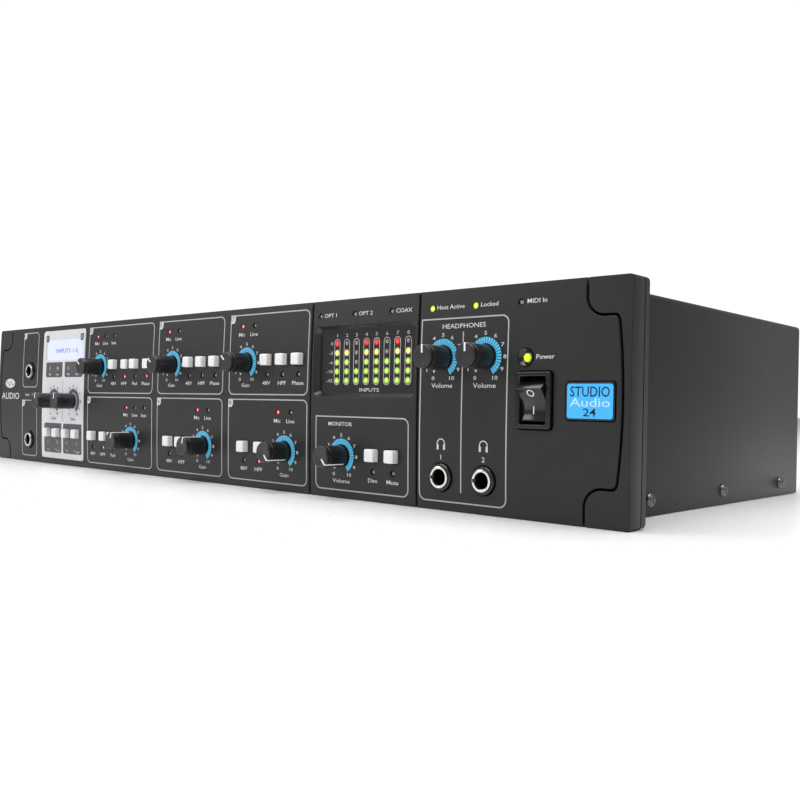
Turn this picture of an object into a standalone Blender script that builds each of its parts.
"""A two-unit rack audio interface: front fascia with knobs, buttons and a rocker switch,
a folded steel chassis, its boards and power supply, and the sockets on the rear panel.

World frame, in metres: X to the viewer's right, Y from the front to the rear, Z up.
The origin is the centre of the chassis bottom. Sizes below are in millimetres.
Front panel places are (distance from the panel's left edge, height above its bottom),
and those of the right-hand section are measured from the panel's right edge.
"""

import math

import bmesh
import bpy
from mathutils import Matrix, Vector

MM = 0.001

# Overall sizes
PANEL_WIDTH = 482.6
PANEL_HEIGHT = 88.1
EAR_WIDTH = 17.3
PANEL_LIP = 0.5
CHASSIS_WIDTH = PANEL_WIDTH - 2 * EAR_WIDTH
CHASSIS_DEPTH = 203.6
CHASSIS_HEIGHT = PANEL_HEIGHT - PANEL_LIP
CLEARANCE = 0.3

# Fascia and the rack plate behind it, as depths behind the panel's front edges
CROWN = 0.95
FASCIA_WALL = 4.5
FASCIA_DEPTH = 8.0
FASCIA_RIM = 3.0
FASCIA_CORNER = 1.8
PLATE_THICKNESS = 3.0
PLATE_RIM = 4.6
PANEL_LIFT = 0.2
SHEET = 1.2
BOARD_THICKNESS = 1.6
BOARD_FRONT = 14.5
BOARD_INSET = 6.0

# The curved seam between the fascia and each end cap
SEAM_GAP = 0.9
CAP_SHOULDER = 17.4
CAP_NECK = 7.0
CAP_WAIST = 4.4
CAP_MIDDLE = 2.6
CAP_STEP = 13.2
CAP_ARC = 6.5
EAR_SLOT = (10.0, 6.8)
EAR_SLOT_FROM_EDGE = 8.75
EAR_SLOT_SPACING = 76.2

# Knobs and their pots
KNOB_DIAMETER = 9.5
KNOB_FACE = 13.8
KNOB_SIDES = 22
KNOB_EDGE = 0.5
KNOB_GROOVE_BACK = 2.0
KNOB_GROOVE = 0.35
KNOB_GAP = 0.5
POINTER = (0.7, 3.3, 0.25)
SHAFT_DIAMETER = 6.0
SHAFT_GRIP = 5.0
POT_BODY = (9.6, 11.2)
POT_FRONT = 6.0

# Push buttons and their switches
BUTTON_SIZE = 5.5
BUTTON_PROUD = 3.6
BUTTON_EDGE = 0.7
BUTTON_BACK = 6.5
BUTTON_TRAVEL = 2.0
LATCHED_DEPTH = 1.5
STEM_SIZE = 3.0
STEM_GRIP = 2.0
SWITCH_SIZE = 7.4
SWITCH_FRONT = 9.0

# Indicator lights
LED_HOLE = 2.6
LED_POST = 1.9
LED_SUNK = 0.5
LED_SIDES = 8

# White inlay with the display, from the panel's left edge
INLAY_LEFT, INLAY_BOTTOM = 63.3, 3.5
INLAY_SIZE = (53.3, 81.6)
INLAY_CORNER = 2.2
INLAY_THICKNESS = 1.2
DISPLAY_LEFT, DISPLAY_BOTTOM = 67.6, 66.0
DISPLAY_SIZE = (46.5, 13.5)
DISPLAY_CORNER = 0.6
WINDOW_THICKNESS = 1.0
DISPLAY_LEDGE = 1.5
MODULE_DEPTH = 4.5
INLAY_KNOBS = (79.5, 104.0)
INLAY_KNOB_HEIGHT = 40.2
INLAY_BUTTONS = (72.6, 84.4, 96.6, 108.6)
INLAY_BUTTON_HEIGHT = 20.0
INLAY_LIGHTS = (73.8, 83.3, 97.5, 108.0)
INLAY_LIGHT_HEIGHTS = (13.8, 61.0)

# Input blocks, each an upper and a lower channel
BLOCKS_LEFT = 122.0
BLOCK_WIDTH = 58.6
BLOCK_GAP = 5.4
COLUMN = 11.35
UPPER_KNOB = 13.2
UPPER_KNOB_HEIGHT = 61.0
UPPER_COLUMN = 29.1
UPPER_BUTTON_HEIGHT = 62.3
UPPER_LIGHT_HEIGHT = 55.2
UPPER_SOURCE_HEIGHT = 79.2
UPPER_SOURCE = 9.0
SOURCE_PITCH = 9.4
LOWER_COLUMNS = (6.4, 11.7, 12.4)
LOWER_KNOB_AFTER = 19.1
LOWER_KNOB_HEIGHT = 18.6
LOWER_BUTTON_HEIGHT = 19.8
LOWER_LIGHT_HEIGHT = 13.1
LOWER_SOURCE_HEIGHT = 37.2
LOWER_SOURCE_BEFORE_KNOB = 5.2

# Meter and monitor section, from the panel's left edge
SEAM_LEFT = 322.0
METER_LEFT, METER_BOTTOM = 323.8, 45.0
METER_SIZE = (61.0, 31.5)
METER_CORNER = 3.0
METER_RECESS = 2.0
METER_LEDGE = 2.0
METER_BAR = (3.2, 20.0)
METER_BAR_FIRST = 336.2
METER_BAR_PITCH = 6.1
METER_BAR_BOTTOM = 50.5
CLOCK_LIGHTS = (327.3, 349.0, 371.0)
CLOCK_LIGHT_HEIGHT = 81.2
MONITOR_KNOB = (342.8, 18.6)
MONITOR_COLUMNS = (362.0, 373.5)
MONITOR_BUTTON_HEIGHT = 19.8
MONITOR_LIGHT_HEIGHT = 12.7
SEAM_DEPTH = 0.5

# Right-hand section, from the panel's right edge
SEAM_RIGHT = 95.8
PHONES = (82.8, 61.7)
PHONES_KNOB_HEIGHT = 60.8
PHONES_JACK_HEIGHT = 13.1
STATUS_LIGHTS = (89.3, 67.4, 45.9)
STATUS_LIGHT_HEIGHT = 81.0
POWER_LIGHT = (43.1, 60.2)
POWER_FLANGE = 6.6
POWER_BARREL = 4.8
POWER_RECESS = (4.4, 0.8)
POWER_BARREL_BACK = 7.0
SWITCH_PLACE = (38.85, 44.3)
SWITCH_FLANGE = (15.4, 21.0)
SWITCH_BODY = (13.0, 19.4)
SWITCH_OPENING = (11.2, 17.6)
SWITCH_DEPTH = 20.0
SWITCH_CAVITY = 9.5
SWITCH_CORNER = 1.0
BADGE_PLACE = (15.6, 44.25)
BADGE_SIZE = (19.4, 13.5)
BADGE_CORNER = 1.0
TRIM_PROUD = 1.5
TRIM_BACK = 0.6
BADGE_PROUD = 0.4

# The rocker, about its pivot
ROCKER_WIDTH = 10.6
ROCKER_HALF = 7.8
ROCKER_SHOULDER = 6.2
ROCKER_FACE = 6.0
ROCKER_DISH = 2.1
ROCKER_SLOPE = 4.2
ROCKER_TILT = 16.0
ROCKER_PIVOT = 2.4
ROCKER_FOOT = 2.5

# Front jacks
INSTRUMENT_JACKS = ((46.5, 59.5), (46.5, 14.3))
JACK_BODY = 14.0
JACK_BODY_FRONT = 5.0
JACK_BODY_BACK = 30.0
JACK_COLLAR = 11.0
JACK_COLLAR_PROUD = 1.0
JACK_RING = 8.8
JACK_RING_PROUD = 1.5
JACK_BORE = 6.6
JACK_BORE_DEPTH = 26.0

# Rear sockets, as places across the chassis from its centre
COMBO_FIRST, COMBO_PITCH, COMBO_COUNT = -202.0, 27.0, 8
COMBO_HEIGHT = 44.0
COMBO_NOSE = 23.6
COMBO_BODY = (26.0, 30.0, 22.0)
COMBO_GROOVE = (18.8, 15.6)
COMBO_GROOVE_DEPTH = 14.0
OUTPUT_FIRST, OUTPUT_PITCH, OUTPUT_COLUMNS = 14.0, 18.0, 4
OUTPUT_HEIGHTS = (30.0, 56.0)
OUTPUT_BODY = 14.0
OUTPUT_NOSE = 9.0
SOCKET_PROUD = 1.2
SOCKET_DEPTH = 24.0
DIN_PLACES = ((104.0, 28.0), (104.0, 56.0))
DIN_NOSE = 14.8
DIN_RECESS = 12.4
DATA_PLACES = ((128.0, 30.0), (128.0, 54.0))
DATA_NOSE = (13.6, 8.2)
DATA_RECESS = (11.4, 6.0)
COAX_PLACES = ((148.0, 30.0), (148.0, 54.0))
COAX_NOSE = 8.4
DATA_DEPTH = 18.0
INLET_PLACE = (190.0, 44.0)
INLET_FLANGE = (31.0, 23.6)
INLET_BODY = (27.6, 20.2)
INLET_RECESS = (24.2, 16.6)
INLET_DEPTH = 24.0
INLET_RECESS_DEPTH = 19.0
INLET_PIN = (2.0, 4.0, 13.0)

PLATE_FRONT = FASCIA_DEPTH + CLEARANCE
CHASSIS_FRONT = PLATE_FRONT + PLATE_THICKNESS + CLEARANCE
FRONT_Y = -CHASSIS_DEPTH / 2 - CHASSIS_FRONT
REAR_Y = CHASSIS_DEPTH / 2
MIDDLE = PANEL_HEIGHT / 2

# Boards and supply inside, above the tray: they fill the room between front and rear sockets
STANDOFF = (6.0, 9.0)
TRAY_FLANGE = 12.0
ROOM_FRONT = FRONT_Y + JACK_BODY_BACK
ROOM_BACK = REAR_Y - INLET_DEPTH
MAIN_BOARD = ((-190.0, ROOM_FRONT + 23.4), (110.0, ROOM_BACK - 22.8))
SUPPLY_BOARD = ((135.0, ROOM_FRONT + 13.4), (205.0, ROOM_BACK - 17.8))


# ---------------------------------------------------------------- places


def from_left(distance):
    """World X, in mm, of a place measured from the panel's left edge."""
    return distance - PANEL_WIDTH / 2


def from_right(distance):
    """World X, in mm, of a place measured from the panel's right edge."""
    return PANEL_WIDTH / 2 - distance


def depth(behind):
    """World Y, in mm, of a depth behind the panel's front edges."""
    return FRONT_Y + behind


def height(above):
    """World Z, in mm, of a height above the panel's bottom edge."""
    return PANEL_LIFT + above


def crown(above):
    """How far the crowned front stands out at this height."""
    return CROWN * (1 - ((above - MIDDLE) / MIDDLE) ** 2)


# ---------------------------------------------------------------- helpers


def clear_scene():
    for obj in list(bpy.data.objects):
        bpy.data.objects.remove(obj, do_unlink=True)


def collection(name, parent=None, hidden=False):
    made = bpy.data.collections.new(name)
    (parent or bpy.context.scene.collection).children.link(made)
    made.hide_render = hidden
    return made


clear_scene()
UNIT = collection("audio_interface")
CUTTERS = collection("cutters", hidden=True)


def material(name, colour, roughness, metallic=0.0):
    """One Principled material in this colour."""
    made = bpy.data.materials.new(name)
    made.use_nodes = True
    shader = made.node_tree.nodes["Principled BSDF"]
    shader.inputs["Base Color"].default_value = (*colour, 1.0)
    shader.inputs["Roughness"].default_value = roughness
    shader.inputs["Metallic"].default_value = metallic
    return made


FINISHES = {
    "panel": material("panel_grey", (0.060, 0.060, 0.062), 0.45),
    "steel": material("painted_steel", (0.035, 0.035, 0.037), 0.5, 0.2),
    "knob": material("knob_black", (0.045, 0.045, 0.047), 0.5),
    "button": material("button_white", (0.80, 0.80, 0.78), 0.35),
    "inlay": material("inlay_silver", (0.68, 0.69, 0.72), 0.4, 0.1),
    "glass": material("window_tint", (0.62, 0.66, 0.90), 0.1),
    "smoke": material("meter_smoke", (0.015, 0.015, 0.016), 0.15),
    "black": material("moulded_black", (0.015, 0.015, 0.015), 0.4),
    "board": material("board_green", (0.02, 0.12, 0.05), 0.5),
    "zinc": material("zinc_sheet", (0.55, 0.56, 0.57), 0.4, 0.9),
    "badge": material("badge_blue", (0.06, 0.50, 0.91), 0.3),
    "nickel": material("nickel_ring", (0.62, 0.60, 0.55), 0.25, 1.0),
}


def place(obj, finish=None):
    """Put a finished piece in the unit, or a cutter out of sight."""
    if finish is None:
        CUTTERS.objects.link(obj)
        obj.hide_render = True
        obj.display_type = "WIRE"
    else:
        UNIT.objects.link(obj)
        obj.data.materials.append(FINISHES[finish])
    return obj


def mesh_object(name, form, centre, finish):
    mesh = bpy.data.meshes.new(name)
    form.to_mesh(mesh)
    form.free()
    obj = bpy.data.objects.new(name, mesh)
    obj.location = Vector(centre) * MM
    return place(obj, finish)


def block(name, low, high, finish=None):
    """A box between two corners, in mm."""
    low, high = Vector(low), Vector(high)
    form = bmesh.new()
    bmesh.ops.create_cube(form, size=1.0)
    bmesh.ops.scale(form, vec=(high - low) * MM, verts=form.verts)
    return mesh_object(name, form, (low + high) / 2, finish)


def rod(name, x, z, front, back, diameter, sides=16, finish=None):
    """A cylinder along Y between two world depths, in mm."""
    form = bmesh.new()
    bmesh.ops.create_cone(
        form,
        cap_ends=True,
        segments=sides,
        radius1=diameter / 2 * MM,
        radius2=diameter / 2 * MM,
        depth=(back - front) * MM,
        matrix=Matrix.Rotation(math.pi / 2, 4, "X"),
    )
    return mesh_object(name, form, (x, (front + back) / 2, z), finish)


def post(name, x, y, low, high, diameter, finish=None):
    """An upright cylinder, in mm."""
    form = bmesh.new()
    radius = diameter / 2 * MM
    bmesh.ops.create_cone(
        form, cap_ends=True, segments=12, radius1=radius, radius2=radius, depth=(high - low) * MM
    )
    return mesh_object(name, form, (x, y, (low + high) / 2), finish)


def outline_solid(name, outline, length, turn, centre, finish=None):
    """A flat outline made solid: a 2D curve in its local XY, extruded both ways and turned."""
    curve = bpy.data.curves.new(name, "CURVE")
    curve.dimensions = "2D"
    curve.fill_mode = "BOTH"
    curve.extrude = length / 2 * MM
    spline = curve.splines.new("POLY")
    spline.points.add(len(outline) - 1)
    for point, (u, v) in zip(spline.points, outline):
        point.co = (u * MM, v * MM, 0.0, 1.0)
    spline.use_cyclic_u = True
    guide = bpy.data.objects.new(name + "_outline", curve)
    bpy.context.scene.collection.objects.link(guide)
    bpy.context.view_layer.update()
    evaluated = guide.evaluated_get(bpy.context.evaluated_depsgraph_get())
    form = bmesh.new()
    mesh = bpy.data.meshes.new_from_object(evaluated)
    form.from_mesh(mesh)
    bmesh.ops.remove_doubles(form, verts=form.verts, dist=1e-6)
    bmesh.ops.recalc_face_normals(form, faces=form.faces)
    bmesh.ops.transform(form, matrix=turn, verts=form.verts)
    bpy.data.objects.remove(guide, do_unlink=True)
    bpy.data.meshes.remove(mesh)
    return mesh_object(name, form, centre, finish)


FACING_FRONT = Matrix.Rotation(math.pi / 2, 4, "X")
FACING_SIDE = Matrix(((0, 0, 1, 0), (1, 0, 0, 0), (0, 1, 0, 0), (0, 0, 0, 1)))


def plate(name, outline, front, back, finish=None):
    """An outline in X and Z, made solid between two world depths."""
    centre = (0.0, (front + back) / 2, 0.0)
    return outline_solid(name, outline, back - front, FACING_FRONT, centre, finish)


def bar(name, outline, left, right, finish=None):
    """An outline in Y and Z, made solid between two world X."""
    centre = ((left + right) / 2, 0.0, 0.0)
    return outline_solid(name, outline, right - left, FACING_SIDE, centre, finish)


def arc(centre, radius, start, end, steps=5):
    """Points along an arc; the angles are in degrees from +u towards +v."""
    angles = [math.radians(start + (end - start) * i / steps) for i in range(steps + 1)]
    return [(centre[0] + radius * math.cos(a), centre[1] + radius * math.sin(a)) for a in angles]


def rounded(left, bottom, width, tall, radius, steps=4):
    """A rectangle with round corners, anticlockwise."""
    right, top = left + width, bottom + tall
    return (
        arc((right - radius, bottom + radius), radius, -90, 0, steps)
        + arc((right - radius, top - radius), radius, 0, 90, steps)
        + arc((left + radius, top - radius), radius, 90, 180, steps)
        + arc((left + radius, bottom + radius), radius, 180, 270, steps)
    )


def centred(x, z, size, radius, steps=4):
    """A rounded rectangle about a middle point."""
    return rounded(x - size[0] / 2, z - size[1] / 2, size[0], size[1], radius, steps)


def boolean(obj, operation, operands):
    """Cut, join or intersect with one object, or with a collection of several."""
    modifier = obj.modifiers.new(operation.title(), "BOOLEAN")
    modifier.operation = operation
    modifier.solver = "EXACT"
    if len(operands) == 1:
        modifier.object = operands[0]
        return obj
    group = collection(f"{obj.name}_{operation.lower()}", CUTTERS, hidden=True)
    for operand in operands:
        CUTTERS.objects.unlink(operand)
        group.objects.link(operand)
    modifier.operand_type = "COLLECTION"
    modifier.collection = group
    return obj


# ---------------------------------------------------------------- layout of the controls


def block_lefts():
    """Left edge and spare columns of the three input blocks: only the first has a pad column."""
    lefts = []
    left = BLOCKS_LEFT
    for extra in (1, 0, 0):
        lefts.append((left, extra))
        left += BLOCK_WIDTH + extra * COLUMN + BLOCK_GAP
    return lefts


def knob_places():
    """(name, world X, height, rest angle in degrees clockwise) of every knob."""
    places = [
        (f"knob_instrument_{i + 1}", from_left(x), INLAY_KNOB_HEIGHT, 0.0)
        for i, x in enumerate(INLAY_KNOBS)
    ]
    turned = {3: -48.0, 4: 17.0, 5: -47.0, 6: 15.0, 7: -47.0, 8: 140.0}
    for i, (left, extra) in enumerate(block_lefts()):
        upper, lower = 3 + 2 * i, 4 + 2 * i
        after = left + LOWER_COLUMNS[i] + (1 + extra) * COLUMN + LOWER_KNOB_AFTER
        places.append(
            (f"knob_gain_{upper}", from_left(left + UPPER_KNOB), UPPER_KNOB_HEIGHT, turned[upper])
        )
        places.append((f"knob_gain_{lower}", from_left(after), LOWER_KNOB_HEIGHT, turned[lower]))
    places.append(("knob_monitor", from_left(MONITOR_KNOB[0]), MONITOR_KNOB[1], 136.0))
    for i, x in enumerate(PHONES):
        places.append((f"knob_phones_{i + 1}", from_right(x), PHONES_KNOB_HEIGHT, 0.0))
    return places


def button_places():
    """(name, world X, height, pressed in) of every push button."""
    places = []
    labels = ("pad_1", "phase_1", "pad_2", "phase_2")
    for label, x in zip(labels, INLAY_BUTTONS):
        places.append((f"button_{label}", from_left(x), INLAY_BUTTON_HEIGHT, False))
    pressed = ("hpf_3", "phase_3", "hpf_4", "hpf_8")
    for i, (left, extra) in enumerate(block_lefts()):
        upper = ["48v", "hpf"] + ["pad"] * extra + ["phase"]
        lower = ["48v", "hpf"] + ["pad"] * extra
        rows = (
            (upper, 3 + 2 * i, UPPER_COLUMN, UPPER_BUTTON_HEIGHT),
            (lower, 4 + 2 * i, LOWER_COLUMNS[i], LOWER_BUTTON_HEIGHT),
        )
        for kinds, channel, first, above in rows:
            for j, kind in enumerate(kinds):
                label = f"{kind}_{channel}"
                x = from_left(left + first + j * COLUMN)
                places.append((f"button_{label}", x, above, label in pressed))
    for label, x in zip(("dim", "mute"), MONITOR_COLUMNS):
        places.append((f"button_{label}", from_left(x), MONITOR_BUTTON_HEIGHT, False))
    return places


def light_places():
    """(world X, height) of every indicator light that shows through the fascia."""
    places = [(from_left(x), z) for x in INLAY_LIGHTS for z in INLAY_LIGHT_HEIGHTS]
    for i, (left, extra) in enumerate(block_lefts()):
        columns = 3 + extra
        after = left + LOWER_COLUMNS[i] + (1 + extra) * COLUMN + LOWER_KNOB_AFTER
        for j in range(columns):
            x = left + UPPER_COLUMN + j * COLUMN
            places.append((from_left(x), UPPER_LIGHT_HEIGHT))
        for j in range(columns - 1):
            x = left + LOWER_COLUMNS[i] + j * COLUMN
            places.append((from_left(x), LOWER_LIGHT_HEIGHT))
        for j in range(2 + extra):
            upper = left + UPPER_SOURCE + j * SOURCE_PITCH
            lower = after - LOWER_SOURCE_BEFORE_KNOB + j * SOURCE_PITCH
            places.append((from_left(upper), UPPER_SOURCE_HEIGHT))
            places.append((from_left(lower), LOWER_SOURCE_HEIGHT))
    places += [(from_left(x), CLOCK_LIGHT_HEIGHT) for x in CLOCK_LIGHTS]
    places += [(from_left(x), MONITOR_LIGHT_HEIGHT) for x in MONITOR_COLUMNS]
    places += [(from_right(x), STATUS_LIGHT_HEIGHT) for x in STATUS_LIGHTS]
    return places


def jack_places():
    """(name, world X, height) of the four front jacks."""
    places = [
        (f"instrument_jack_{i + 1}", from_left(x), z)
        for i, (x, z) in enumerate(INSTRUMENT_JACKS)
    ]
    for i, x in enumerate(PHONES):
        places.append((f"phones_jack_{i + 1}", from_right(x), PHONES_JACK_HEIGHT))
    return places


# ---------------------------------------------------------------- fascia


def crown_profile(back, lowest=0.0, highest=PANEL_HEIGHT, steps=12):
    """The panel's section in Y and Z: a crowned front and a flat back."""
    heights = [lowest + (highest - lowest) * i / steps for i in range(steps + 1)]
    front = [(depth(-crown(z)), height(z)) for z in reversed(heights)]
    return [(depth(back), height(lowest))] + [(depth(back), height(highest))] + front


def seam_points(gap):
    """The seam beside the right end cap, as (distance from the edge, height), bottom to top."""
    lower = arc((CAP_SHOULDER - CAP_ARC, CAP_STEP - CAP_ARC), CAP_ARC + gap, 0, 90)
    bulge = CAP_WAIST - CAP_MIDDLE
    half = MIDDLE - CAP_STEP - 3.0
    radius = (half**2 + bulge**2) / (2 * bulge)
    spread = math.degrees(math.asin(half / radius))
    middle = (CAP_MIDDLE + radius + gap, MIDDLE)
    waist = arc(middle, radius, 180 + spread, 180 - spread, 8)
    step = [(CAP_NECK + gap, CAP_STEP + gap), (CAP_WAIST + gap + 0.6, CAP_STEP + gap + 0.6)]
    upper = [(x, PANEL_HEIGHT - z) for x, z in reversed(lower)]
    risen = [(x, PANEL_HEIGHT - z) for x, z in reversed(step)]
    below = [(CAP_SHOULDER + gap, -5.0)]
    above = [(CAP_SHOULDER + gap, PANEL_HEIGHT + 5.0)]
    return below + lower + step + waist + risen + upper + above


def fascia():
    """The main moulding between the two end caps, hollow behind, cut for every control."""
    right = [(from_right(x), height(z)) for x, z in seam_points(SEAM_GAP)]
    left = [(from_left(x), height(z)) for x, z in reversed(seam_points(SEAM_GAP))]
    between = plate("fascia_between_caps", right + left, depth(-5), depth(20))
    body = bar("fascia", crown_profile(FASCIA_DEPTH), from_left(0), from_right(0), "panel")
    boolean(body, "INTERSECT", [between])
    side = CAP_SHOULDER + SEAM_GAP + FASCIA_RIM
    cuts = [
        block(
            "fascia_hollow",
            (from_left(side), depth(FASCIA_WALL), height(FASCIA_RIM)),
            (from_right(side), depth(FASCIA_DEPTH + 1), height(PANEL_HEIGHT - FASCIA_RIM)),
        )
    ]
    cuts += control_holes() + window_holes() + trim_holes()
    return boolean(body, "DIFFERENCE", cuts)


def square_hole(name, x, z, size):
    return block(
        name,
        (x - size / 2, depth(-CROWN - 2), height(z) - size / 2),
        (x + size / 2, depth(FASCIA_DEPTH + 1), height(z) + size / 2),
    )


def round_hole(name, x, z, diameter, sides=16):
    return rod(
        name, x, height(z), depth(-CROWN - 2), depth(FASCIA_DEPTH + 1), diameter, sides
    )


def control_holes():
    """Holes for shafts, buttons, lights and jacks."""
    cuts = []
    for name, x, z, _ in knob_places():
        cuts.append(round_hole(f"{name}_hole", x, z, SHAFT_DIAMETER + 2 * CLEARANCE, 12))
    for name, x, z, _ in button_places():
        cuts.append(square_hole(f"{name}_hole", x, z, BUTTON_SIZE + 2 * CLEARANCE))
    for i, (x, z) in enumerate(light_places()):
        cuts.append(round_hole(f"light_hole_{i}", x, z, LED_HOLE, LED_SIDES))
    for name, x, z in jack_places():
        cuts.append(round_hole(f"{name}_hole", x, z, JACK_COLLAR + 2 * CLEARANCE, 20))
    return cuts


def window_holes():
    """The inlay's and the meter's recesses, with the openings behind their windows."""
    inlay = grown(INLAY_LEFT, INLAY_BOTTOM, INLAY_SIZE, INLAY_CORNER, CLEARANCE)
    display = grown(DISPLAY_LEFT, DISPLAY_BOTTOM, DISPLAY_SIZE, DISPLAY_CORNER, -DISPLAY_LEDGE)
    meter = grown(METER_LEFT, METER_BOTTOM, METER_SIZE, METER_CORNER, 0.0)
    behind = grown(METER_LEFT, METER_BOTTOM, METER_SIZE, METER_CORNER, -METER_LEDGE)
    floor = METER_RECESS + WINDOW_THICKNESS + CLEARANCE
    front, back = depth(-CROWN - 2), depth(FASCIA_DEPTH + 1)
    return [
        plate("inlay_recess", inlay, front, depth(INLAY_THICKNESS + CLEARANCE)),
        plate("display_opening", display, front, back),
        plate("meter_recess", meter, front, depth(floor)),
        plate("meter_opening", behind, front, back),
    ]


def grown(left, bottom, size, radius, by):
    """A rounded rectangle on the panel, grown or shrunk all round."""
    corner = max(radius + by, 0.3)
    return rounded(
        from_left(left) - by, height(bottom) - by, size[0] + 2 * by, size[1] + 2 * by, corner
    )


def trim_holes():
    """Seats and holes for the badge, the rocker switch and the power light, and the two seams."""
    front, back, seat = depth(-CROWN - 2), depth(FASCIA_DEPTH + 1), depth(-TRIM_BACK + CLEARANCE)
    badge_x, badge_z = from_right(BADGE_PLACE[0]), height(BADGE_PLACE[1])
    switch_x, switch_z = from_right(SWITCH_PLACE[0]), height(SWITCH_PLACE[1])
    light_x, light_z = from_right(POWER_LIGHT[0]), height(POWER_LIGHT[1])
    round_by = 2 * CLEARANCE
    badge = (BADGE_SIZE[0] + round_by, BADGE_SIZE[1] + round_by)
    flange = (SWITCH_FLANGE[0] + round_by, SWITCH_FLANGE[1] + round_by)
    body = (SWITCH_BODY[0] + round_by, SWITCH_BODY[1] + round_by)
    cuts = [
        plate("badge_seat", centred(badge_x, badge_z, badge, BADGE_CORNER), front, seat),
        plate("switch_seat", centred(switch_x, switch_z, flange, SWITCH_CORNER), front, seat),
        plate("switch_hole", centred(switch_x, switch_z, body, SWITCH_CORNER), front, back),
        rod("power_seat", light_x, light_z, front, seat, POWER_FLANGE + round_by),
        rod("power_hole", light_x, light_z, front, back, POWER_BARREL + round_by),
    ]
    for name, x in (("seam_left", from_left(SEAM_LEFT)), ("seam_right", from_right(SEAM_RIGHT))):
        low = (x - SEAM_GAP / 2, front, height(-1))
        cuts.append(
            block(name, low, (x + SEAM_GAP / 2, depth(SEAM_DEPTH), height(PANEL_HEIGHT + 1)))
        )
    return cuts


def end_cap(name, side):
    """The moulding over one rack ear, outside the curved seam."""
    across = from_right if side > 0 else from_left
    edge, limits = across(0), sorted((across(0), across(30)))
    outline = [(across(x), height(z)) for x, z in seam_points(0.0)]
    outside = outline + [(edge + side * 5, outline[-1][1]), (edge + side * 5, outline[0][1])]
    cap = bar(name, crown_profile(FASCIA_DEPTH), limits[0], limits[1], "panel")
    boolean(cap, "INTERSECT", [plate(f"{name}_outside", outside, depth(-5), depth(20))])
    return cap


def preamp_inlay():
    """The pale plate around the instrument controls, let into the fascia."""
    outline = grown(INLAY_LEFT, INLAY_BOTTOM, INLAY_SIZE, INLAY_CORNER, 0.0)
    left, right = from_left(INLAY_LEFT - 1), from_left(INLAY_LEFT + INLAY_SIZE[0] + 1)
    inlay = bar("preamp_inlay", crown_profile(INLAY_THICKNESS), left, right, "inlay")
    boolean(inlay, "INTERSECT", [plate("inlay_outline", outline, depth(-5), depth(20))])
    opening = grown(DISPLAY_LEFT, DISPLAY_BOTTOM, DISPLAY_SIZE, DISPLAY_CORNER, CLEARANCE)
    cuts = [plate("display_hole", opening, depth(-5), depth(20))]
    for name, x, z, _ in knob_places()[: len(INLAY_KNOBS)]:
        cuts.append(round_hole(f"{name}_inlay", x, z, SHAFT_DIAMETER + 2 * CLEARANCE, 12))
    for name, x, z, _ in button_places()[: len(INLAY_BUTTONS)]:
        cuts.append(square_hole(f"{name}_inlay", x, z, BUTTON_SIZE + 2 * CLEARANCE))
    for i, (x, z) in enumerate(light_places()[: 2 * len(INLAY_LIGHTS)]):
        cuts.append(round_hole(f"light_inlay_{i}", x, z, LED_HOLE, LED_SIDES))
    return boolean(inlay, "DIFFERENCE", cuts)


def windows():
    """The display's and the meter's windows, and the display module behind."""
    outline = grown(DISPLAY_LEFT, DISPLAY_BOTTOM, DISPLAY_SIZE, DISPLAY_CORNER, 0.0)
    surface = -crown(DISPLAY_BOTTOM + DISPLAY_SIZE[1]) + CLEARANCE
    front = depth(surface)
    plate("display_window", outline, front, front + WINDOW_THICKNESS, "glass")
    meter = grown(METER_LEFT, METER_BOTTOM, METER_SIZE, METER_CORNER, -CLEARANCE)
    floor = depth(METER_RECESS)
    plate("meter_window", meter, floor, floor + WINDOW_THICKNESS, "smoke")
    module = depth(FASCIA_WALL + CLEARANCE)
    block(
        "display_module",
        (from_left(DISPLAY_LEFT), module, height(DISPLAY_BOTTOM)),
        (
            from_left(DISPLAY_LEFT + DISPLAY_SIZE[0]),
            module + MODULE_DEPTH,
            height(DISPLAY_BOTTOM + DISPLAY_SIZE[1]),
        ),
        "board",
    )


def badge():
    x, z = from_right(BADGE_PLACE[0]), height(BADGE_PLACE[1])
    front = depth(-CROWN - BADGE_PROUD)
    plate("badge", centred(x, z, BADGE_SIZE, BADGE_CORNER), front, depth(-TRIM_BACK), "badge")


def power_light():
    """The power light: a round black bezel on a barrel, recessed for its lens."""
    x, z = from_right(POWER_LIGHT[0]), height(POWER_LIGHT[1])
    front = depth(-crown(POWER_LIGHT[1]) - BADGE_PROUD)
    barrel = rod(
        "power_light", x, z, depth(-TRIM_BACK - 0.2), depth(POWER_BARREL_BACK), POWER_BARREL,
        16, "black",
    )
    boolean(
        barrel, "UNION", [rod("power_flange", x, z, front, depth(-TRIM_BACK), POWER_FLANGE, 20)]
    )
    wide, deep = POWER_RECESS
    recess = rod("power_recess", x, z, front - 1, front + deep, wide, 20)
    return boolean(barrel, "DIFFERENCE", [recess])


# ---------------------------------------------------------------- controls


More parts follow.
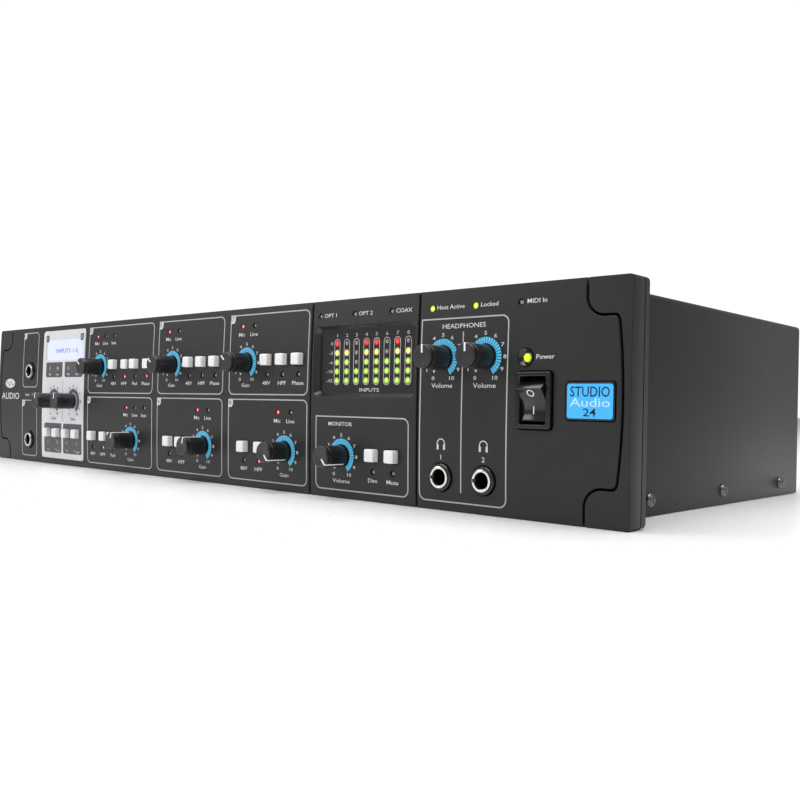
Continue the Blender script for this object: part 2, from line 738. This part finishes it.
def knob(name, x, above, angle):
    """A turned knob with its shaft, about its own axis, with a slot for the pointer."""
    radius, shaft = KNOB_DIAMETER / 2, SHAFT_DIAMETER / 2
    front, back = -KNOB_FACE, -CROWN - KNOB_GAP
    groove = front + KNOB_GROOVE_BACK
    end = POT_FRONT + SHAFT_GRIP
    section = [
        (0.0, front),
        (radius - KNOB_EDGE, front),
        (radius, front + KNOB_EDGE),
        (radius, groove),
        (radius - KNOB_GROOVE, groove + KNOB_GROOVE),
        (radius, groove + 2 * KNOB_GROOVE),
        (radius, back),
        (shaft, back),
        (shaft, end),
        (0.0, end),
    ]
    form = bmesh.new()
    points = [form.verts.new((r * MM, y * MM, 0.0)) for r, y in section]
    for first, second in zip(points, points[1:]):
        form.edges.new((first, second))
    turned = mesh_object(name, form, (x, FRONT_Y, height(above)), "knob")
    turned.rotation_euler.y = math.radians(angle)
    screw = turned.modifiers.new("Turn", "SCREW")
    screw.axis = "Y"
    screw.steps = screw.render_steps = KNOB_SIDES
    screw.use_merge_vertices = True
    screw.merge_threshold = 1e-5
    screw.use_normal_calculate = True
    width, length, deep = POINTER
    slot = block(
        f"{name}_pointer",
        (-width / 2, front - 1, radius - length),
        (width / 2, front + deep, radius + 1),
    )
    slot.parent = turned
    return boolean(turned, "DIFFERENCE", [slot])


def button(name, x, above, pressed):
    """A white cap with the stem that enters its switch. Its origin is on its line of travel."""
    sunk = LATCHED_DEPTH if pressed else 0.0
    half, stem = BUTTON_SIZE / 2, STEM_SIZE / 2
    length = BUTTON_BACK + BUTTON_PROUD
    form = bmesh.new()
    bmesh.ops.create_cube(form, size=1.0)
    size = Vector((BUTTON_SIZE, length, BUTTON_SIZE)) * MM
    bmesh.ops.scale(form, vec=size, verts=form.verts)
    middle = depth(sunk + (BUTTON_BACK - BUTTON_PROUD) / 2)
    cap = mesh_object(name, form, (x, middle, height(above)), "button")
    edge = cap.modifiers.new("Edges", "BEVEL")
    edge.width = min(BUTTON_EDGE, half / 2) * MM
    edge.segments = 1
    grip = SWITCH_FRONT + STEM_GRIP + sunk
    neck = block(
        f"{name}_stem",
        (x - stem, depth(BUTTON_BACK + sunk - 1), height(above) - stem),
        (x + stem, depth(grip), height(above) + stem),
    )
    return boolean(cap, "UNION", [neck])


def rocker_switch():
    """The frame of the power switch, and the rocker that tilts in it."""
    x, z = from_right(SWITCH_PLACE[0]), height(SWITCH_PLACE[1])
    body = centred(x, z, SWITCH_BODY, SWITCH_CORNER)
    frame = plate("switch_frame", body, depth(-CROWN), depth(SWITCH_DEPTH), "black")
    flange = centred(x, z, SWITCH_FLANGE, SWITCH_CORNER)
    front = depth(-CROWN - TRIM_PROUD)
    boolean(frame, "UNION", [plate("switch_flange", flange, front, depth(-TRIM_BACK))])
    opening = centred(x, z, SWITCH_OPENING, 0.4)
    boolean(
        frame, "DIFFERENCE", [plate("switch_cavity", opening, front - 1, depth(SWITCH_CAVITY))]
    )
    section = [
        (-ROCKER_FACE, -ROCKER_SHOULDER),
        (-ROCKER_FACE + ROCKER_DISH, 0.0),
        (-ROCKER_FACE, ROCKER_SHOULDER),
        (-ROCKER_FACE + ROCKER_SLOPE, ROCKER_HALF),
        (ROCKER_FOOT, ROCKER_FOOT),
        (ROCKER_FOOT, -ROCKER_FOOT),
        (-ROCKER_FACE + ROCKER_SLOPE, -ROCKER_HALF),
    ]
    rocker = bar("power_rocker", section, -ROCKER_WIDTH / 2, ROCKER_WIDTH / 2, "black")
    rocker.location = Vector((x, depth(ROCKER_PIVOT), z)) * MM
    rocker.rotation_euler.x = math.radians(ROCKER_TILT)
    return rocker


def front_jack(name, x, above):
    """A jack: its body, the black collar, the bright ring and the bore."""
    z = height(above)
    surface = -crown(above)
    half = JACK_BODY / 2
    body = block(
        name,
        (x - half, depth(JACK_BODY_FRONT), z - half),
        (x + half, depth(JACK_BODY_BACK), z + half),
        "black",
    )
    collar = depth(surface - JACK_COLLAR_PROUD)
    ring = depth(surface - JACK_RING_PROUD)
    inside = depth(JACK_BODY_FRONT + 1)
    nose = rod(f"{name}_collar", x, z, collar, inside, JACK_COLLAR, 20)
    bush = rod(f"{name}_ring", x, z, ring, inside, JACK_RING, 20)
    boolean(body, "UNION", [nose, bush])
    bore = rod(f"{name}_bore", x, z, ring - 1, depth(JACK_BORE_DEPTH), JACK_BORE, 16)
    return boolean(body, "DIFFERENCE", [bore])


def control_board():
    """The board behind the fascia with the pots, switches, lights and meter bars."""
    front, back = depth(BOARD_FRONT), depth(BOARD_FRONT + BOARD_THICKNESS)
    left = from_left(INLAY_LEFT - FASCIA_RIM)
    right = from_right(SWITCH_PLACE[0] - SWITCH_BODY[0])
    board = block(
        "control_board",
        (left, front, height(BOARD_INSET)),
        (right, back, height(PANEL_HEIGHT - PLATE_RIM - CLEARANCE)),
        "board",
    )
    added, cuts = [], []
    for name, x, z, _ in knob_places():
        wide, tall = POT_BODY[0] / 2, POT_BODY[1] / 2
        low = (x - wide, depth(POT_FRONT), height(z) - tall)
        added.append(block(f"{name}_pot", low, (x + wide, back - 0.5, height(z) + tall)))
        bore = SHAFT_DIAMETER + 2 * CLEARANCE
        end = depth(POT_FRONT + SHAFT_GRIP + CLEARANCE)
        cuts.append(rod(f"{name}_bore", x, height(z), depth(POT_FRONT - 1), end, bore, 12))
    deepest = SWITCH_FRONT + STEM_GRIP + BUTTON_TRAVEL + CLEARANCE
    for name, x, z, _ in button_places():
        half, bore = SWITCH_SIZE / 2, STEM_SIZE / 2 + CLEARANCE
        low = (x - half, depth(SWITCH_FRONT), height(z) - half)
        added.append(block(f"{name}_switch", low, (x + half, back - 0.5, height(z) + half)))
        low = (x - bore, depth(SWITCH_FRONT - 1), height(z) - bore)
        cuts.append(block(f"{name}_bore", low, (x + bore, depth(deepest), height(z) + bore)))
    for i, (x, z) in enumerate(light_places()):
        tip = depth(-crown(z) + LED_SUNK)
        added.append(rod(f"light_{i}", x, height(z), tip, back - 0.5, LED_POST, LED_SIDES))
    behind = METER_RECESS + WINDOW_THICKNESS + CLEARANCE
    for i in range(8):
        x = from_left(METER_BAR_FIRST + i * METER_BAR_PITCH)
        low = (x - METER_BAR[0] / 2, depth(behind), height(METER_BAR_BOTTOM))
        high = (x + METER_BAR[0] / 2, back - 0.5, height(METER_BAR_BOTTOM + METER_BAR[1]))
        added.append(block(f"meter_bar_{i}", low, high))
    boolean(board, "UNION", added)
    return boolean(board, "DIFFERENCE", cuts + board_notches())


def board_notches():
    """Room in the control board for the rocker switch and the headphone jacks."""
    gap = CLEARANCE + 0.3
    front, back = depth(BOARD_FRONT - 1), depth(BOARD_FRONT + BOARD_THICKNESS + 1)
    x, z = from_right(SWITCH_PLACE[0]), height(SWITCH_PLACE[1])
    wide, tall = SWITCH_BODY[0] / 2 + gap, SWITCH_BODY[1] / 2 + gap
    notches = [block("switch_notch", (x - wide, front, z - tall), (x + 99, back, z + tall))]
    half = JACK_BODY / 2 + gap
    for name, x, above in jack_places()[len(INSTRUMENT_JACKS) :]:
        low = (x - half, front, height(above) - half - 9)
        notches.append(block(f"{name}_notch", low, (x + half, back, height(above) + half)))
    return notches


# ---------------------------------------------------------------- chassis


def rack_plate():
    """The steel plate with the rack ears, open behind the controls."""
    outline = rounded(
        from_left(0), height(0), PANEL_WIDTH, PANEL_HEIGHT, FASCIA_CORNER
    )
    body = plate(
        "rack_plate", outline, depth(PLATE_FRONT), depth(PLATE_FRONT + PLATE_THICKNESS), "steel"
    )
    side = CAP_SHOULDER + SEAM_GAP + FASCIA_RIM
    front, back = depth(PLATE_FRONT - 1), depth(PLATE_FRONT + PLATE_THICKNESS + 1)
    cuts = [
        block(
            "plate_window",
            (from_left(side), front, height(PLATE_RIM)),
            (from_right(side), back, height(PANEL_HEIGHT - PLATE_RIM)),
        )
    ]
    for i, x in enumerate((from_left(EAR_SLOT_FROM_EDGE), from_right(EAR_SLOT_FROM_EDGE))):
        for j, z in enumerate((MIDDLE - EAR_SLOT_SPACING / 2, MIDDLE + EAR_SLOT_SPACING / 2)):
            slot = centred(x, height(z), EAR_SLOT, EAR_SLOT[1] / 2 - 0.01)
            cuts.append(plate(f"ear_slot_{i}{j}", slot, front, back))
    return boolean(body, "DIFFERENCE", cuts)


def folded_sheet(name, outline, front, back, finish):
    """Folded sheet: an open line in X and Z, drawn out along Y and given its thickness."""
    form = bmesh.new()
    ends = []
    for y in (front, back):
        ends.append([form.verts.new((x * MM, y * MM, z * MM)) for x, z in outline])
    for i in range(len(outline) - 1):
        form.faces.new((ends[0][i], ends[0][i + 1], ends[1][i + 1], ends[1][i]))
    obj = mesh_object(name, form, (0, 0, 0), finish)
    wall = obj.modifiers.new("Sheet", "SOLIDIFY")
    wall.thickness = SHEET * MM
    wall.offset = -1.0
    wall.use_even_offset = True
    return obj


def top_cover():
    """The cover: its top and both sides from one folded sheet, down to the tray's edge."""
    half, top, fold = CHASSIS_WIDTH / 2, CHASSIS_HEIGHT, 2.2
    line = (
        [(-half, 0.3)]
        + arc((-half + fold, top - fold), fold, 180, 90, 4)
        + arc((half - fold, top - fold), fold, 90, 0, 4)
        + [(half, 0.3)]
    )
    return folded_sheet("top_cover", line, -CHASSIS_DEPTH / 2, REAR_Y, "steel")


def chassis_tray():
    """The bottom with low side flanges, and standoffs for the boards."""
    half = CHASSIS_WIDTH / 2 - SHEET - CLEARANCE
    line = [(half, TRAY_FLANGE), (half, 0.0), (-half, 0.0), (-half, TRAY_FLANGE)]
    tray = folded_sheet("chassis_tray", line, -CHASSIS_DEPTH / 2, REAR_Y, "steel")
    top = SHEET + STANDOFF[1]
    posts = []
    for i, (low, high) in enumerate((MAIN_BOARD, SUPPLY_BOARD)):
        for j, x in enumerate((low[0] + 5, high[0] - 5)):
            for k, y in enumerate((low[1] + 5, high[1] - 5)):
                posts.append(post(f"standoff_{i}{j}{k}", x, y, SHEET / 2, top, STANDOFF[0]))
    return boolean(tray, "UNION", posts)


def rear_panel():
    """The rear wall with a hole for each socket."""
    half = CHASSIS_WIDTH / 2 - SHEET - CLEARANCE
    side = half - SHEET - CLEARANCE
    low = (-side, REAR_Y - SHEET, SHEET + CLEARANCE)
    high = (side, REAR_Y, CHASSIS_HEIGHT - SHEET - CLEARANCE)
    wall = block("rear_panel", low, high, "steel")
    front, back = REAR_Y - SHEET - 1, REAR_Y + 1
    gap = 2 * CLEARANCE
    cuts = []
    for i in range(COMBO_COUNT):
        x = COMBO_FIRST + i * COMBO_PITCH
        cuts.append(rod(f"combo_hole_{i}", x, COMBO_HEIGHT, front, back, COMBO_NOSE + gap, 20))
    for i, (x, z) in enumerate(output_places()):
        cuts.append(rod(f"output_hole_{i}", x, z, front, back, OUTPUT_NOSE + gap, 16))
    for i, (x, z) in enumerate(DIN_PLACES):
        cuts.append(rod(f"din_hole_{i}", x, z, front, back, DIN_NOSE + gap, 20))
    for i, (x, z) in enumerate(COAX_PLACES):
        cuts.append(rod(f"coax_hole_{i}", x, z, front, back, COAX_NOSE + gap, 16))
    for i, (x, z) in enumerate(DATA_PLACES):
        size = (DATA_NOSE[0] + gap, DATA_NOSE[1] + gap)
        cuts.append(plate(f"data_hole_{i}", centred(x, z, size, 0.5), front, back))
    size = (INLET_BODY[0] + gap, INLET_BODY[1] + gap)
    cuts.append(plate("inlet_hole", centred(*INLET_PLACE, size, 1.5), front, back))
    return boolean(wall, "DIFFERENCE", cuts)


def output_places():
    """(world X, world Z) of the line outputs, in two rows."""
    columns = [OUTPUT_FIRST + i * OUTPUT_PITCH for i in range(OUTPUT_COLUMNS)]
    return [(x, z) for z in OUTPUT_HEIGHTS for x in columns]


# ---------------------------------------------------------------- boards and sockets


def input_board():
    """The upright board with the eight combined microphone and line sockets."""
    inner = REAR_Y - SHEET - CLEARANCE
    wide, tall, long = COMBO_BODY
    back = inner - long
    last = COMBO_FIRST + (COMBO_COUNT - 1) * COMBO_PITCH
    board = block(
        "input_board",
        (COMBO_FIRST - wide / 2, back - BOARD_THICKNESS, COMBO_HEIGHT - 28),
        (last + wide / 2, back, COMBO_HEIGHT + 28),
        "board",
    )
    added, cuts = [], []
    for i in range(COMBO_COUNT):
        x, z = COMBO_FIRST + i * COMBO_PITCH, COMBO_HEIGHT
        low = (x - wide / 2, back - 0.5, z - tall / 2)
        added.append(block(f"combo_{i}_body", low, (x + wide / 2, inner, z + tall / 2)))
        nose = REAR_Y + SOCKET_PROUD
        added.append(rod(f"combo_{i}_nose", x, z, inner - 5, nose, COMBO_NOSE, 20))
        floor = nose - COMBO_GROOVE_DEPTH
        ring = rod(f"combo_{i}_groove", x, z, floor, nose + 1, COMBO_GROOVE[0], 20)
        core = rod(f"combo_{i}_core", x, z, floor - 1, nose - 2, COMBO_GROOVE[1], 20)
        cuts.append(boolean(ring, "DIFFERENCE", [core]))
        cuts.append(rod(f"combo_{i}_bore", x, z, nose - SOCKET_DEPTH + 3, nose + 1, JACK_BORE, 12))
    boolean(board, "UNION", added)
    return boolean(board, "DIFFERENCE", cuts)


def output_board():
    """The upright board with the eight line outputs."""
    inner = REAR_Y - SHEET - CLEARANCE
    back = inner - SOCKET_DEPTH
    columns = [x for x, _ in output_places()]
    half = OUTPUT_BODY / 2
    board = block(
        "output_board",
        (min(columns) - half, back - BOARD_THICKNESS, OUTPUT_HEIGHTS[0] - 14),
        (max(columns) + half, back, OUTPUT_HEIGHTS[1] + 14),
        "board",
    )
    added, cuts = [], []
    for i, (x, z) in enumerate(output_places()):
        low = (x - half, back - 0.5, z - half)
        added.append(block(f"output_{i}_body", low, (x + half, inner, z + half)))
        nose = REAR_Y + SOCKET_PROUD + 1
        added.append(rod(f"output_{i}_nose", x, z, inner - 3, nose, OUTPUT_NOSE, 16))
        cuts.append(rod(f"output_{i}_bore", x, z, nose - SOCKET_DEPTH, nose + 1, JACK_BORE, 12))
    boolean(board, "UNION", added)
    return boolean(board, "DIFFERENCE", cuts)


def digital_board():
    """The board with the MIDI, data and coaxial sockets."""
    inner = REAR_Y - SHEET - CLEARANCE
    back = inner - DATA_DEPTH
    board = block(
        "digital_board",
        (DIN_PLACES[0][0] - 9.5, back - BOARD_THICKNESS, 14),
        (COAX_PLACES[0][0] + 6.5, back, 68),
        "board",
    )
    added, cuts = [], []
    for i, (x, z) in enumerate(DIN_PLACES):
        added.append(block(f"din_{i}_body", (x - 9, back - 0.5, z - 9), (x + 9, inner, z + 9)))
        added.append(rod(f"din_{i}_nose", x, z, inner - 3, REAR_Y + SOCKET_PROUD, DIN_NOSE, 20))
        cuts.append(rod(f"din_{i}_recess", x, z, inner - 8, REAR_Y + 5, DIN_RECESS, 16))
    for i, (x, z) in enumerate(DATA_PLACES):
        added.append(block(f"data_{i}_body", (x - 8, back - 0.5, z - 6), (x + 8, inner, z + 6)))
        nose = centred(x, z, DATA_NOSE, 0.5)
        added.append(plate(f"data_{i}_nose", nose, inner - 3, REAR_Y + SOCKET_PROUD))
        recess = centred(x, z, DATA_RECESS, 0.4)
        cuts.append(plate(f"data_{i}_recess", recess, inner - 10, REAR_Y + 5))
    for i, (x, z) in enumerate(COAX_PLACES):
        added.append(block(f"coax_{i}_body", (x - 6, back - 0.5, z - 6), (x + 6, inner, z + 6)))
        added.append(rod(f"coax_{i}_nose", x, z, inner - 3, REAR_Y + 9, COAX_NOSE, 16))
        cuts.append(rod(f"coax_{i}_bore", x, z, REAR_Y, REAR_Y + 10, 3.4, 8))
    boolean(board, "UNION", added)
    return boolean(board, "DIFFERENCE", cuts)


def mains_inlet():
    """The mains inlet: flange, body, recess and three pins."""
    x, z = INLET_PLACE
    inner = REAR_Y - INLET_DEPTH
    nose = REAR_Y + SOCKET_PROUD + CLEARANCE
    body = plate("mains_inlet", centred(x, z, INLET_BODY, 1.5), inner, nose - 0.5, "black")
    flange = plate("inlet_flange", centred(x, z, INLET_FLANGE, 2.0), REAR_Y + CLEARANCE, nose)
    boolean(body, "UNION", [flange])
    recess = plate(
        "inlet_recess", centred(x, z, INLET_RECESS, 3.0), nose - INLET_RECESS_DEPTH, nose + 1
    )
    boolean(body, "DIFFERENCE", [recess])
    wide, tall, long = INLET_PIN
    floor = nose - INLET_RECESS_DEPTH
    pins = []
    for i, (dx, dz) in enumerate(((-7.0, -1.0), (0.0, 3.0), (7.0, -1.0))):
        low = (x + dx - wide / 2, floor - 1, z + dz - tall / 2)
        high = (x + dx + wide / 2, floor + long, z + dz + tall / 2)
        pins.append(block(f"inlet_pin_{i}", low, high))
    return boolean(body, "UNION", pins)


def main_board():
    """The main board with its larger chips and a shield can."""
    (left, front), (right, back) = MAIN_BOARD
    low = SHEET + STANDOFF[1] + CLEARANCE
    top = low + BOARD_THICKNESS
    board = block("main_board", (left, front, low), (right, back, top), "board")
    chips = (
        (-60, -7.5, 28, 28, 3), (-10, 22.5, 20, 20, 2), (-120, 2.5, 40, 30, 8),
        (40, -17.5, 16, 24, 3), (80, 27.5, 18, 12, 10), (-160, -27.5, 12, 12, 14),
        (70, -32.5, 12, 12, 16),
    )
    added = []
    for i, (x, behind, w, d, h) in enumerate(chips):
        y = (front + back) / 2 + behind
        low = (x - w / 2, y - d / 2, top - 0.5)
        added.append(block(f"chip_{i}", low, (x + w / 2, y + d / 2, top + h)))
    return boolean(board, "UNION", added)


def power_supply():
    """The supply board with its transformer, heat sink and reservoir capacitors."""
    (left, front), (right, back) = SUPPLY_BOARD
    low = SHEET + STANDOFF[1] + CLEARANCE
    top = low + BOARD_THICKNESS
    board = block("power_supply", (left, front, low), (right, back, top), "board")
    x, y, foot = (left + right) / 2, (front + back) / 2, top - 0.5
    added = [
        block("transformer", (x - 22, y - 19, foot), (x + 22, y + 19, top + 34)),
        block("heat_sink", (left + 4, front + 10, foot), (left + 8, front + 60, top + 28)),
        post("capacitor_0", x, front + 19, foot, top + 30, 18),
        post("capacitor_1", x + 21, front + 19, foot, top + 30, 18),
        block("filter_choke", (x - 14, back - 26, foot), (x + 14, back - 6, top + 18)),
    ]
    return boolean(board, "UNION", added)


def build():
    """Every piece of the unit."""
    fascia()
    end_cap("left_end_cap", -1)
    end_cap("right_end_cap", 1)
    preamp_inlay()
    windows()
    badge()
    power_light()
    for place_of in knob_places():
        knob(*place_of)
    for place_of in button_places():
        button(*place_of)
    rocker_switch()
    for place_of in jack_places():
        front_jack(*place_of)
    control_board()
    rack_plate()
    top_cover()
    chassis_tray()
    rear_panel()
    input_board()
    output_board()
    digital_board()
    mains_inlet()
    main_board()
    power_supply()


build()
